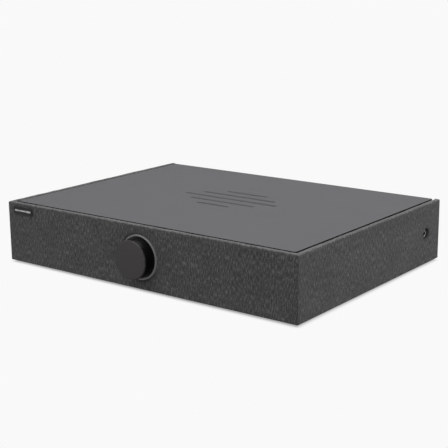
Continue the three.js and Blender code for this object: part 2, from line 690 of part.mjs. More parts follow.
function addConnectors() {
  const placed = (name, x, geometry, finish) => (
    add(name, geometry, finish).position.set(x, 0, IO_HEIGHT)
  );
  add("io_plate", ioPlate(), "blackSteel");
  placed("jack_block", JACKS_X, jackBlock(), "plastic");
  placed("ground_post", GROUND_X, groundPost(), "brass");
  placed("ground_thumb_nut", GROUND_X, groundThumbNut(), "brass");
  placed("mains_inlet", INLET_X, mainsInlet(), "plastic");
  placed("power_switch_frame", POWER_SWITCH_X, powerSwitchFrame(), "plastic");
  placed("input_switch_body", INPUT_SWITCH_X, inputSwitchBody(), "steel");
  placed("input_slider", INPUT_SWITCH_X, inputSlider(), "plastic");
  const rocker = add("power_rocker", powerRocker(), "plastic");
  rocker.position.set(POWER_SWITCH_X, ROCKER_PIVOT_Y, IO_HEIGHT);
  rocker.rotation.x = -ROCKER_TILT;
}

// ---------- headphone socket: built along Y, then turned so that its mouth faces +X ----------
const BUSHING_TIP = -3.5;

function headphoneCup() {
  const outer = HEADPHONE_HOLE - GAP;
  const inner = outer - 1.2;
  return turned([
    [5, -8], [outer, -8], [outer, -0.2], [inner, -0.2], [inner, -6.5], [5, -6.5], [5, -8],
  ]);
}

function headphoneJack() {
  return turned([
    [0, -32], [7, -32], [7, -8.3], [4.6, -8.3], [4.6, BUSHING_TIP],
    [3.25, BUSHING_TIP], [3.25, -26], [0, -26],
  ]);
}

function addHeadphoneSocket() {
  const place = subgroup(WIDTH / 2, HEADPHONE_Y, HEADPHONE_Z);
  place.rotation.z = -Math.PI / 2;
  add("headphone_cup", headphoneCup(), "plastic", place);
  add("headphone_jack", headphoneJack(), "steel", place);
}

addCabinet();
addCovering();
addVolumeControl();
addLoudspeakers();
addElectronics();
addConnectors();
addHeadphoneSocket();

export default group;
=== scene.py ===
import contextlib
import json
import math

import bmesh
import bpy
from mathutils import Matrix, Vector, noise


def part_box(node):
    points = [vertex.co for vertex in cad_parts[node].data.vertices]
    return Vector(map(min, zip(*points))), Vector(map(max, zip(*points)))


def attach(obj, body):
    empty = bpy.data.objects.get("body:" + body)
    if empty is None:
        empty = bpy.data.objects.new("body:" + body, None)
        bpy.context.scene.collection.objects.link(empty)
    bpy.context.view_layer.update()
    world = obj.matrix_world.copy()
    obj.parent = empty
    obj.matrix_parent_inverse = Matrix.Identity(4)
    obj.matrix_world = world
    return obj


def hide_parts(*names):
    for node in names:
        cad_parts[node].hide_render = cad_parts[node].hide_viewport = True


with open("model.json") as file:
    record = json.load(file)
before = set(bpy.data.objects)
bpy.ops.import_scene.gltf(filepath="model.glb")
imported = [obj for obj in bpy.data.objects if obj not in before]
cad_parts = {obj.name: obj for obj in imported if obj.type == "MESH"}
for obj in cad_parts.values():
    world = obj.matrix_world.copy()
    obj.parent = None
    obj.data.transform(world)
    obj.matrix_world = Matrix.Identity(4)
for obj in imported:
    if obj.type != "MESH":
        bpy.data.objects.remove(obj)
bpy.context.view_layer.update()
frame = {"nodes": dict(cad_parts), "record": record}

MM = 0.001


def span(node):
    """A node's low and high corners, in millimetres."""
    low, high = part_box(node)
    return low / MM, high / MM


def centre(node):
    low, high = span(node)
    return (low + high) / 2


def new_object(name, data):
    made = bpy.data.objects.new(name, data)
    bpy.context.scene.collection.objects.link(made)
    return made


@contextlib.contextmanager
def editing(mesh):
    """Opens a mesh for changes, and writes them back at the end of the block."""
    solid = bmesh.new()
    solid.from_mesh(mesh)
    yield solid
    solid.to_mesh(mesh)
    solid.free()


# ---------- camera ----------
LENS = 85.19  # millimetres, on a sensor 36 mm wide
CAMERA_PLACE = (0.83239, -1.07710, 0.38720)
CAMERA_TURN = (76.148, 0.510, 37.339)  # degrees about X, Y and Z

camera_data = bpy.data.cameras.new("camera")
camera_data.lens = LENS
camera_data.sensor_width = 36
camera_data.clip_start = 0.05
camera_data.clip_end = 200
camera = new_object("camera", camera_data)
camera.location = CAMERA_PLACE
camera.rotation_euler = [math.radians(angle) for angle in CAMERA_TURN]
bpy.context.scene.camera = camera
bpy.context.scene.view_settings.view_transform = "Standard"


# ---------- materials ----------
BLOTCH_SCALE = 28.0
PATCH_SCALE = 260.0
THREAD_PITCH = 0.62 * MM


def tone(red, green, blue):
    """A display colour, 0 to 255, as the linear colour that the shader takes."""
    def linear(value):
        value /= 255
        return value / 12.92 if value <= 0.04045 else ((value + 0.055) / 1.055) ** 2.4
    return (linear(red), linear(green), linear(blue))


def scaled(colour, factor):
    return tuple(channel * factor for channel in colour)


class Finish:
    """A Principled material and the procedural nodes that feed it."""

    def __init__(self, name, **sockets):
        self.material = bpy.data.materials.new(name)
        self.material.use_nodes = True
        self.tree = self.material.node_tree
        self.shader = self.tree.nodes["Principled BSDF"]
        self.where = self.tree.nodes.new("ShaderNodeTexCoord").outputs["Object"]
        self.set(**sockets)

    def set(self, **sockets):
        for name, value in sockets.items():
            socket = self.shader.inputs[name.replace("_", " ")]
            if isinstance(value, bpy.types.NodeSocket):
                self.tree.links.new(value, socket)
            elif isinstance(value, tuple):
                socket.default_value = (*value, 1)
            else:
                socket.default_value = value

    def node(self, kind, *inputs, **settings):
        node = self.tree.nodes.new("ShaderNode" + kind)
        for name, value in settings.items():
            setattr(node, name, value)
        for index, value in enumerate(inputs):
            if value is None:
                continue
            if isinstance(value, bpy.types.NodeSocket):
                self.tree.links.new(value, node.inputs[index])
            else:
                node.inputs[index].default_value = value
        return node

    def maths(self, operation, a, b=None):
        return self.node("Math", a, b, operation=operation).outputs[0]

    def weighted(self, *terms):
        """The sum of several values, each times its weight."""
        parts = [self.maths("MULTIPLY", value, weight) for value, weight in terms]
        total = parts[0]
        for part in parts[1:]:
            total = self.maths("ADD", total, part)
        return total

    def stretched(self, scale, where=None):
        mapping = self.node("Mapping", where or self.where)
        mapping.inputs["Scale"].default_value = scale
        return mapping.outputs[0]

    def noise(self, scale, detail=2.0, stretch=None, where=None):
        place = self.stretched(stretch, where) if stretch else (where or self.where)
        return self.node("TexNoise", place, None, scale, detail).outputs[0]

    def between(self, factor, low, high):
        """A number that runs from low to high as factor does from 0.3 to 0.7."""
        return self.node("MapRange", factor, 0.3, 0.7, low, high).outputs[0]

    def ramp(self, factor, *stops):
        node = self.node("ValToRGB", factor)
        elements = node.color_ramp.elements
        while len(elements) < len(stops):
            elements.new(0.5)
        for element, (position, colour) in zip(elements, stops):
            element.position = position
            element.color = (*colour, 1)
        return node.outputs[0]

    def mix(self, factor, a, b, blend="MIX"):
        node = self.node("Mix", data_type="RGBA", blend_type=blend)
        for socket, value in ((node.inputs[0], factor), (node.inputs[6], a), (node.inputs[7], b)):
            if isinstance(value, bpy.types.NodeSocket):
                self.tree.links.new(value, socket)
            else:
                socket.default_value = (*value, 1) if isinstance(value, tuple) else value
        return node.outputs[2]

    def attribute(self, name):
        node = self.tree.nodes.new("ShaderNodeAttribute")
        node.attribute_name = name
        return node.outputs["Fac"]

    def bump(self, height, distance, strength=1.0):
        node = self.tree.nodes.new("ShaderNodeBump")
        node.inputs["Strength"].default_value = strength
        node.inputs["Distance"].default_value = distance
        self.tree.links.new(height, node.inputs["Height"])
        self.set(Normal=node.outputs[0])


def surface(name, colour, roughness, metallic=0.0, mottle=0.12, grain=1500.0, relief=0.03,
            stretch=None, wear_and_shade_colour=None, uneven=0.05, **sockets):
    """A moulded, painted or metal finish: fine grain, slow blotches, uneven gloss and an edge colour,
    which is wear on most finishes and painted shade on the knob's face.
    """
    finish = Finish(name, Metallic=metallic, **sockets)
    fine = finish.noise(grain, 3.0, stretch)
    slow = finish.noise(BLOTCH_SCALE, 2.0)
    both = finish.weighted((fine, 0.6), (slow, 0.4))
    shade = finish.ramp(both, (0.35, scaled(colour, 1 - mottle)), (0.65, scaled(colour, 1 + mottle)))
    gloss = finish.between(slow, roughness - uneven, roughness + uneven)
    # The edge colour follows the mesh's edge attribute: lighter wear on the black plastic and steel, and
    # near-black painted shade on the knob face's rounded shoulder.
    if wear_and_shade_colour:
        patchy = finish.between(finish.noise(PATCH_SCALE, 3.0), 0.25, 0.9)
        mask = finish.maths("MULTIPLY", finish.attribute("wear_and_shade"), patchy)
        shade = finish.mix(mask, shade, wear_and_shade_colour)
        gloss = finish.maths("SUBTRACT", gloss, finish.maths("MULTIPLY", mask, 0.1))
    finish.set(Base_Color=shade, Roughness=gloss)
    finish.bump(fine, relief * MM)
    return finish


def woven_cloth():
    """Charcoal heather cloth: dark warp and weft with lighter slubs that run up the cloth."""
    finish = Finish("charcoal_cloth", Roughness=0.95, Sheen_Weight=0.12, Sheen_Roughness=0.6,
                    Specular_IOR_Level=0.15)
    uv = finish.tree.nodes.new("ShaderNodeUVMap")
    uv.uv_map = "cloth"
    cloth = uv.outputs[0]
    parts = finish.node("SeparateXYZ", cloth)
    across, along = parts.outputs[0], parts.outputs[1]
    slub = finish.noise(1.0, 2.0, (700.0, 170.0, 1.0), cloth)
    fibre = finish.noise(1.0, 3.0, (1400.0, 760.0, 1.0), cloth)
    weft = finish.noise(1.0, 1.0, (300.0, 1200.0, 1.0), cloth)
    cloud = finish.noise(26.0, 2.0, None, cloth)
    blend = finish.weighted((slub, 0.5), (fibre, 0.27), (weft, 0.18), (cloud, 0.08))
    shade = finish.ramp(
        blend, (0.36, tone(39, 38, 39)), (0.46, tone(67, 66, 67)), (0.54, tone(81, 80, 81)),
        (0.66, tone(127, 125, 126)),
    )

    def ridge(coordinate):
        return finish.maths("SINE", finish.maths("MULTIPLY", coordinate, 2 * math.pi / THREAD_PITCH))

    weave = finish.maths("MULTIPLY", ridge(across), ridge(along))
    height = finish.weighted((weave, 0.5), (fibre, 1.4))
    # Painted shade: the colour is darkened in the hollows of the weave, between the threads.
    valley_shade = finish.between(weave, 0.86, 1.0)
    finish.set(Base_Color=finish.mix(1.0, shade, valley_shade, "MULTIPLY"))
    finish.bump(height, 0.12 * MM, 0.8)
    return finish


def board(name, colour, fleck):
    """Pressed fibre board: short fibres and darker flecks."""
    finish = Finish(name, Roughness=0.82)
    fibre = finish.noise(900.0, 4.0, (1.0, 0.35, 1.6))
    flecks = finish.noise(340.0, 1.0)
    shade = finish.ramp(fibre, (0.3, scaled(colour, 0.72)), (0.7, scaled(colour, 1.25)))
    finish.set(Base_Color=finish.mix(finish.between(flecks, 0.0, 0.45), shade, fleck))
    finish.bump(fibre, 0.08 * MM)
    return finish


def foam():
    finish = Finish("pad_foam", Roughness=0.95)
    cells = finish.node("TexVoronoi", finish.where, None, 900.0).outputs[0]
    finish.set(Base_Color=finish.ramp(cells, (0.1, tone(12, 12, 12)), (0.6, tone(44, 44, 45))))
    finish.bump(cells, 0.3 * MM)
    return finish


def circuit_board():
    finish = Finish("circuit_board", Roughness=0.35)
    tracks = finish.node("TexBrick", finish.where)
    sizes = {"Scale": 160.0, "Mortar Size": 0.03, "Brick Width": 1.9, "Row Height": 0.4}
    for name, value in sizes.items():
        tracks.inputs[name].default_value = value
    pads = finish.node("TexVoronoi", finish.where, None, 210.0).outputs[0]
    green = finish.mix(tracks.outputs["Fac"], tone(22, 74, 44), tone(38, 112, 66))
    on_pad = finish.maths("LESS_THAN", pads, 0.16)
    finish.set(Base_Color=finish.mix(on_pad, green, tone(186, 178, 150)),
               Metallic=finish.maths("MULTIPLY", on_pad, 0.8))
    finish.bump(tracks.outputs["Fac"], 0.05 * MM)
    return finish


def turned_metal(name, colour, roughness, pitch):
    """Lathe-turned metal: fine rings along the axis and a little tarnish."""
    finish = Finish(name, Metallic=1.0)
    along = finish.node("SeparateXYZ", finish.where).outputs[1]
    rings = finish.maths("SINE", finish.maths("MULTIPLY", along, 2 * math.pi / pitch))
    tarnish = finish.noise(420.0, 3.0)
    finish.set(Base_Color=finish.ramp(tarnish, (0.3, scaled(colour, 0.72)), (0.7, colour)),
               Roughness=finish.between(tarnish, roughness - 0.06, roughness + 0.1))
    finish.bump(rings, 0.01 * MM)
    return finish


def ribbed_paper():
    finish = Finish("cone_black", Roughness=0.85)
    fibre = finish.noise(1400.0, 4.0)
    rough = finish.noise(220.0, 2.0)
    finish.set(Base_Color=finish.ramp(fibre, (0.3, tone(14, 14, 15)), (0.7, tone(44, 44, 46))),
               Roughness=finish.between(rough, 0.75, 0.95))
    finish.bump(fibre, 0.08 * MM)
    return finish


def sleeve():
    """The printed plastic sleeve of a capacitor, with one pale stripe."""
    finish = Finish("capacitor_sleeve", Roughness=0.3)
    across = finish.node("SeparateXYZ", finish.where).outputs[0]
    stripe_end = 0.0385  # metres along X
    stripe = finish.maths("LESS_THAN", across, stripe_end)
    speckle = finish.noise(1200.0)
    blue = finish.ramp(speckle, (0.3, tone(22, 32, 62)), (0.7, tone(36, 50, 88)))
    finish.set(Base_Color=finish.mix(stripe, blue, tone(168, 172, 178)))
    finish.bump(speckle, 0.02 * MM)
    return finish


# One look for each material slot of the record.
LOOKS = {
    "charcoal_fabric": woven_cloth(),
    "grey_plate": surface("grey_plate", tone(80, 80, 82), 0.55, mottle=0.04, grain=2600.0, relief=0.012,
                          uneven=0.012, Specular_IOR_Level=0.2),
    "raw_board": board("raw_board", tone(150, 120, 88), tone(96, 70, 46)),
    "black_board": board("black_board", tone(36, 36, 37), tone(18, 18, 19)),
    "black_plastic": surface("black_plastic", tone(27, 27, 28), 0.5, grain=2600.0,
                             wear_and_shade_colour=tone(58, 58, 60)),
    # Its edge colour is painted shade: near black, it darkens the face's rounded shoulder towards the
    # rim.
    "knob_grey": surface("knob_grey", tone(71, 69, 70), 0.62, mottle=0.05, grain=3200.0, relief=0.015,
                         wear_and_shade_colour=tone(14, 14, 14), Specular_IOR_Level=0.2),
    # The faint emission is a painted glow on an unlit ring. It stands in for light bounced up onto the
    # ring's lower side.
    "frosted_ring": surface("frosted_ring", tone(93, 93, 95), 0.5, mottle=0.06, relief=0.01,
                            Emission_Color=(1.0, 1.0, 1.0), Emission_Strength=0.043),
    "pad_foam": foam(),
    "black_rubber": surface("black_rubber", tone(24, 24, 25), 0.8, grain=1800.0, relief=0.05),
    "bright_steel": surface("bright_steel", tone(196, 197, 200), 0.24, 1.0, 0.06, 700.0, 0.006,
                            (1.0, 14.0, 1.0)),
    "black_steel": surface("black_steel", tone(31, 31, 33), 0.45, 0.0, 0.1, 1400.0, 0.05,
                           wear_and_shade_colour=tone(128, 128, 130)),
    "gilt_brass": turned_metal("gilt_brass", tone(214, 172, 92), 0.25, 0.25 * MM),
    "aluminium": surface("aluminium", tone(172, 174, 177), 0.34, 1.0, 0.08, 900.0, 0.01,
                         (1.0, 0.06, 1.0)),
    "magnet_ferrite": surface("magnet_ferrite", tone(46, 46, 48), 0.6, 0.3, 0.2, 700.0, 0.06),
    "cone_black": ribbed_paper(),
    "circuit_board": circuit_board(),
    "moulded_component": surface("moulded_component", tone(40, 41, 46), 0.5, 0.0, 0.15, 1100.0, 0.05),
    "capacitor_sleeve": sleeve(),
    "wire_jacket": surface("wire_jacket", tone(138, 34, 30), 0.4, 0.0, 0.1, 700.0, 0.02),
    # The rest are looks of visible parts that have no slot of their own.
    "gloss_black": surface("gloss_black", tone(8, 8, 9), 0.34, mottle=0.2, grain=1700.0, relief=0.008,
                           Specular_IOR_Level=0.12),
    "plate_edge": surface("plate_edge", tone(12, 12, 12), 0.6, mottle=0.2, grain=1700.0, relief=0.02,
                          Specular_IOR_Level=0.2),
    "white_insulator": surface("white_insulator", tone(214, 212, 206), 0.4, mottle=0.04, relief=0.015),
    "red_insulator": surface("red_insulator", tone(168, 32, 30), 0.4, mottle=0.06, relief=0.015),
    "badge_bar": surface("badge_bar", tone(196, 197, 200), 0.4, 0.3, 0.2, 420.0, 0.02, (1.0, 1.0, 0.4)),
    "recess_plastic": surface("recess_plastic", tone(34, 33, 34), 0.5, grain=2600.0),
    "cup_plastic": surface("cup_plastic", tone(64, 63, 64), 0.5, grain=2600.0),
    "satin_nickel": surface("satin_nickel", tone(232, 232, 234), 0.3, 0.5, 0.05, 900.0, 0.004),
    "plate_mark": surface("plate_mark", tone(40, 41, 44), 0.5, mottle=0.04, grain=2600.0, relief=0.012),
}


# ---------- shapes, in millimetres ----------
STEPS = 4  # flats in a rounded corner
SHARP_ANGLE = math.radians(38)


def fillet(points, steps=STEPS):
    """Rounds a line's corners. A point is (a, b) or (a, b, radius); the result is (a, b, wear)."""
    line = []
    count = len(points)
    for index, point in enumerate(points):
        here = Vector(point[:2])
        radius = point[2] if len(point) > 2 else 0
        if radius == 0:
            line.append((here.x, here.y, 0.0))
            continue
        back = (Vector(points[index - 1][:2]) - here).normalized()
        on = (Vector(points[(index + 1) % count][:2]) - here).normalized()
        half = back.angle(on) / 2
        middle = here + (back + on).normalized() * radius / math.sin(half)
        start, end = (here + way * radius / math.tan(half) - middle for way in (back, on))
        first = math.atan2(start.y, start.x)
        turn = (math.atan2(end.y, end.x) - first + math.pi) % (2 * math.pi) - math.pi
        for step in range(steps + 1):
            angle = first + turn * step / steps
            wear_and_shade = 1.0 if 0 < step < steps else 0.2
            line.append((middle.x + radius * math.cos(angle), middle.y + radius * math.sin(angle), wear_and_shade))
    return line


def circle(radius, level, sides):
    """Points round the shape's own Z."""
    turns = (2 * math.pi * side / sides for side in range(sides))
    return [(radius * math.cos(turn), radius * math.sin(turn), level) for turn in turns]


def rounded_rectangle(width, height, radius, steps):
    """The corner arcs of a rectangle centred on the origin, counter-clockwise."""
    points = []
    for quarter, (x, y) in enumerate(((1, -1), (1, 1), (-1, 1), (-1, -1))):
        for step in range(steps + 1):
            angle = (quarter - 1 + step / steps) * math.pi / 2
            points.append((
                x * (width / 2 - radius) + radius * math.cos(angle),
                y * (height / 2 - radius) + radius * math.sin(angle),
            ))
    return points


DIRECTIONS = {
    "front": ((1, 0, 0), (0, 0, 1), (0, -1, 0)),
    "back": ((-1, 0, 0), (0, 0, 1), (0, 1, 0)),
    "right": ((0, 1, 0), (0, 0, 1), (1, 0, 0)),
    "up": ((1, 0, 0), (0, 1, 0), (0, 0, 1)),
    "down": ((1, 0, 0), (0, -1, 0), (0, 0, -1)),
}


def facing(direction, place):
    """Puts a shape built along its own Z at a place, pointing out of one side of the object."""
    axes = Matrix(DIRECTIONS[direction]).transposed().to_4x4()
    return Matrix.Translation(place) @ axes


class Shape:
    """Collects rings, lathe turnings and slabs, then makes one Blender object of them."""

    def __init__(self):
        self.vertices = []
        self.faces = []
        self.wear_and_shade = []
        self.finish = []

    def loft(self, rings, place, finish=0, closed=False):
        """Joins rings of equal length; a ring is (points, wear), and a single point closes to a tip."""
        starts = []
        for points, wear_and_shade in rings:
            starts.append((len(self.vertices), len(points)))
            self.vertices += [place @ Vector(point) for point in points]
            self.wear_and_shade += [wear_and_shade] * len(points)
        pairs = list(zip(starts, starts[1:] + starts[:1] if closed else starts[1:]))
        for (low, low_count), (high, high_count) in pairs:
            for index in range(max(low_count, high_count)):
                after = index + 1
                face = [low + index % low_count, low + after % low_count,
                        high + after % high_count, high + index % high_count]
                self.faces.append(list(dict.fromkeys(face)))
                self.finish.append(finish)
        if not closed:
            for start, count in (starts[0], starts[-1]):
                if count > 1:
                    self.faces.append(list(range(start, start + count)))
                    self.finish.append(finish)

    def lathe(self, line, place, segments, finish=0, closed=False):
        """Turns a line of (radius, height, wear) about the shape's own Z."""
        rings = [
            (circle(radius, height, segments if radius > 1e-6 else 1), wear_and_shade)
            for radius, height, wear_and_shade in line
        ]
        self.loft(rings, place, finish, closed)

    def sections(self, sections, place, finish=0, steps=STEPS):
        """Stacks rounded rectangles; a section is (width, height, corner radius, level, wear)."""
        rings = []
        for width, height, radius, level, wear_and_shade in sections:
            outline = rounded_rectangle(width, height, radius, steps)
            rings.append(([(x, y, level) for x, y in outline], wear_and_shade))
        self.loft(rings, place, finish)

    def slab(self, width, height, radius, levels, place, finish=0, steps=STEPS):
        """Stacks one rounded rectangle at several insets; a level is (inset, height, wear)."""
        self.sections([
            (width - 2 * inset, height - 2 * inset, max(radius - inset, 0.05), level, wear_and_shade)
            for inset, level, wear_and_shade in levels
        ], place, finish, steps)

    def screw(self, radius, place):
        """A pan head with a crossed slot, standing on z = 0."""
        sides = 48
        slot_half_width, slot_reach, slot_depth = 0.12, 0.55, 0.3  # shares of the head's radius
        rings = []
        for share in (0.0, 0.12, 0.22, 0.32, 0.42, 0.52, 0.66, 0.8, 0.92, 1.0):
            dome = 0.42 * math.sqrt(max(1 - 0.95 * share * share, 0.0)) + 0.12
            ring = []
            for x, y, _ in circle(share, 0, sides if share else 1):
                in_slot = min(abs(x), abs(y)) < slot_half_width and share < slot_reach
                height = dome - (slot_depth if in_slot else 0.0)
                ring.append((x * radius, y * radius, height * radius))
            rings.append((ring, 0.4))
        rings.append((circle(radius, 0.0, sides), 0.4))
        self.loft(rings, place)

    def mesh(self, name):
        mesh = bpy.data.meshes.new(name)
        mesh.from_pydata([vertex * MM for vertex in self.vertices], [], self.faces)
        return mesh

    def make(self, name, looks, stands_for=(), body="cabinet"):
        """Makes a piece with one material for each look, and hides the CAD nodes it stands for."""
        mesh = self.mesh(name)
        for look in looks:
            mesh.materials.append(LOOKS[look].material)
        mesh.polygons.foreach_set("material_index", self.finish)
        wear_and_shade = mesh.attributes.new("wear_and_shade", "FLOAT", "POINT")
        wear_and_shade.data.foreach_set("value", self.wear_and_shade)
        turn_outward(mesh)
        mesh.shade_smooth()
        mesh.set_sharp_from_angle(angle=SHARP_ANGLE)
        return settle(new_object(name, mesh), body, stands_for)


def turn_outward(mesh):
    """Turns every normal of a closed mesh outward."""
    with editing(mesh) as solid:
        bmesh.ops.recalc_face_normals(solid, faces=solid.faces)


def settle(piece, body, stands_for):
    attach(piece, body)
    if stands_for:
        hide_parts(*stands_for)
    return piece


def rounded_levels(low, high, edge, both=True):
    """Levels of a slab between two heights, with its upper edge, or both edges, rounded."""
    top = []
    for step in range(STEPS + 1):
        turn = math.pi / 2 * step / STEPS
        inset, drop = edge * (1 - math.cos(turn)), edge * (1 - math.sin(turn))
        top.append((inset, high - drop, 1.0 if 0 < step < STEPS else 0.2))
    if not both:
        return [(0, low, 0.0)] + top
    return [(inset, low + high - level, wear_and_shade) for inset, level, wear_and_shade in reversed(top)] + top


# ---------- the cloth ----------
WRAP_LOW, WRAP_HIGH = span("fabric_wrap")
KNOB_CENTRE = centre("light_ring")
JACK_CENTRE = centre("headphone_cup")
RING_PLACE = facing("front", (KNOB_CENTRE.x, WRAP_LOW.y, KNOB_CENTRE.z))
JACK_PLACE = facing("right", (WRAP_HIGH.x, JACK_CENTRE.y, JACK_CENTRE.z))
CLOTH_THICKNESS = 0.95
CORNER_RADIUS = 1.1
UNDER_FOLD = 1.0
RIM_FOLD = 1.6
SLOT_FOLD = 0.9
LEAST_CORNER = 0.4
CLOTH_SHARP_ANGLE = math.radians(50)
SLOT = 3.2
RIM_WIDTH = WRAP_HIGH.x - span("top_plate")[1].x - SLOT
TURN_DOWN = 6.0
UNDER_HEM = 12.0
BACK_HEM = 14.0
LID_LINE = span("left_rear_panel")[1].z
RING_HOLE = 28.5
RING_DIP = 2.8  # how far out from the ring the cloth starts to turn in
RING_DEPTH = 1.6
JACK_HOLE = 8.85
HOLE_SIDES = 126  # no corner falls on the cloth's middle grid line
GRID = 3.3
HEM_GRID = 2.1
RIM_GRID = 1.4
BACK_ZONE = 20.0  # no cloth crosses the lid this near the back
STRAY_REACH = 2.4


def steps_between(start, end, pitch):
    count = max(1, round(abs(end - start) / pitch))
    return [start + (end - start) * index / count for index in range(count + 1)]


def cloth_rows():
    """The cloth's section, from the hem underneath to the edge in the slot: (inset, height, length)."""
    bottom, top = WRAP_LOW.z, WRAP_HIGH.z
    corners = fillet([
        (UNDER_HEM, bottom), (0, bottom, UNDER_FOLD), (0, top, RIM_FOLD), (RIM_WIDTH, top, SLOT_FOLD),
        (RIM_WIDTH, top - TURN_DOWN),
    ])
    points = []
    for (inset, height, _), (next_inset, next_height, _) in zip(corners, corners[1:]):
        across, up = next_inset - inset, next_height - height
        count = max(1, round(math.hypot(across, up) / GRID))
        points += [(inset + across * i / count, height + up * i / count) for i in range(count)]
    points.append(corners[-1][:2])
    wall = next(i for i, (inset, height) in enumerate(points) if inset < 1e-6 and height > LID_LINE)
    points[wall] = (0.0, LID_LINE)
    rows, length = [], 0.0
    for index, point in enumerate(points):
        if index:
            length += math.dist(point, points[index - 1])
        rows.append((*point, length))
    return rows


def cloth_outline(inset, back_inset):
    """One turn of the cloth seen from above: (x, y, length along the outermost turn)."""
    half_x = WRAP_HIGH.x
    front, back = WRAP_LOW.y, WRAP_HIGH.y
    corner = max(CORNER_RADIUS - inset, LEAST_CORNER)
    side = half_x - inset
    low, high = front + inset, back - back_inset
    straight_back = steps_between(half_x - BACK_HEM, half_x - RIM_WIDTH, HEM_GRID)
    straight_back += steps_between(half_x - RIM_WIDTH, half_x - CORNER_RADIUS, RIM_GRID)[1:]
    half = [(min(x, side - corner), low, x) for x in steps_between(0, half_x - CORNER_RADIUS, GRID)]

    def add_corner(first, middle_y, length):
        for step in range(1, STEPS):
            angle = first + math.pi / 2 * step / STEPS
            length += CORNER_RADIUS * math.pi / 2 / STEPS
            x = side - corner + corner * math.cos(angle)
            half.append((x, middle_y + corner * math.sin(angle), length))

    add_corner(-math.pi / 2, low + corner, half_x - CORNER_RADIUS)
    length = half_x - CORNER_RADIUS * (1 - math.pi / 2)
    start = front + CORNER_RADIUS
    for y in steps_between(start, back - CORNER_RADIUS, GRID):
        half.append((side, min(max(y, low + corner), high - corner), length + y - start))
    add_corner(0, high - corner, half[-1][2])
    length = half[-1][2]
    for x in reversed(straight_back):
        half.append((min(x, side - corner), high, length + half_x - CORNER_RADIUS - x))
    other = [(-x, y, -along) for x, y, along in reversed(half[1:])]
    return other + half


def cloth_mesh():
    rows = cloth_rows()
    vertices, places = [], []
    for inset, height, up in rows:
        back_inset = min(inset, RIM_FOLD) if height > LID_LINE else inset
        turn = cloth_outline(inset, back_inset)
        vertices += [(x, y, height) for x, y, _ in turn]
        places += [(along, up) for _, _, along in turn]
    width = len(turn)
    faces = []
    for row in range(len(rows) - 1):
        for column in range(width - 1):
            a = row * width + column
            face = (a, a + 1, a + width + 1, a + width)
            corners = [vertices[index] for index in face]
            in_lid = all(
                abs(x) < WRAP_HIGH.x - RIM_WIDTH + 0.01 and z > LID_LINE - 0.01
                and y > WRAP_HIGH.y - BACK_ZONE
                for x, y, z in corners
            )
            if not in_lid:
                faces.append(face)
    mesh = bpy.data.meshes.new("cloth_cover")
    mesh.from_pydata([Vector(vertex) * MM for vertex in vertices], [], faces)
    layer = mesh.uv_layers.new(name="cloth")
    for loop in mesh.loops:
        along, up = places[loop.vertex_index]
        layer.data[loop.index].uv = (along * MM, up * MM)
    return mesh


def relax(mesh):
    """Gives the stretched cloth its small unevenness, mostly along the folded rim."""
    reach = 0.009  # metres below the rim
    everywhere, at_rim = 0.05, 0.22  # millimetres
    normals = [vertex.normal.copy() for vertex in mesh.vertices]
    top = WRAP_HIGH.z * MM
    for vertex, normal in zip(mesh.vertices, normals):
        near_rim = max(0.0, 1 - (top - vertex.co.z) / reach)
        ripple = noise.noise(vertex.co * 55) + 0.6 * noise.noise(vertex.co * 160)
        lift = (everywhere + at_rim * near_rim) * ripple
        vertex.co += normal * lift * MM


def cutter(radius, place):
    """A round bar, 12 mm long, that stands through the cloth where a hole goes."""
    bar = Shape()
    bar.lathe([(0, -6, 0), (radius, -6, 0), (radius, 6, 0), (0, 6, 0)], place, HOLE_SIDES)
    mesh = bar.mesh("cutter")
    turn_outward(mesh)
    return new_object("cutter", mesh)


def baked(piece):
    """Applies a piece's modifiers to its mesh."""
    graph = bpy.context.evaluated_depsgraph_get()
    mesh = bpy.data.meshes.new_from_object(piece.evaluated_get(graph))
    piece.modifiers.clear()
    piece.data = mesh
    return mesh


def clear_strays(mesh, reach):
    """Puts back the points that Solidify throws far off where folds meet."""
    with editing(mesh) as solid:
        for vertex in solid.verts:
            near = [edge.other_vert(vertex).co for edge in vertex.link_edges]
            middle = sum(near, Vector()) / len(near)
            if (vertex.co - middle).length > reach:
                vertex.co = middle


def turned_in_rim(mesh, place, hole, reach, depth, flat_level):
    """Adds a collar of the same cloth that dips in towards a round part set in it."""
    steps = 6
    arc = [math.pi / 2 * step / steps for step in range(steps + 1)]
    line = [(hole + reach * (1 - math.sin(t)), -depth * (1 - math.cos(t))) for t in arc]
    line += [(radius, level - CLOTH_THICKNESS) for radius, level in reversed(line)]
    with editing(mesh) as solid:
        layer = solid.loops.layers.uv["cloth"]
        rings = [
            [solid.verts.new(place @ Vector(point) * MM) for point in circle(radius, level, HOLE_SIDES)]
            for radius, level in line
        ]
        collar = []
        for one, other in zip(rings, rings[1:] + rings[:1]):
            for side in range(HOLE_SIDES):
                after = (side + 1) % HOLE_SIDES
                face = solid.faces.new((one[side], one[after], other[after], other[side]))
                collar.append(face)
                for loop in face.loops:
                    spot = loop.vert.co
                    loop[layer].uv = (spot.x, spot.z + flat_level * MM)
        bmesh.ops.recalc_face_normals(solid, faces=collar)


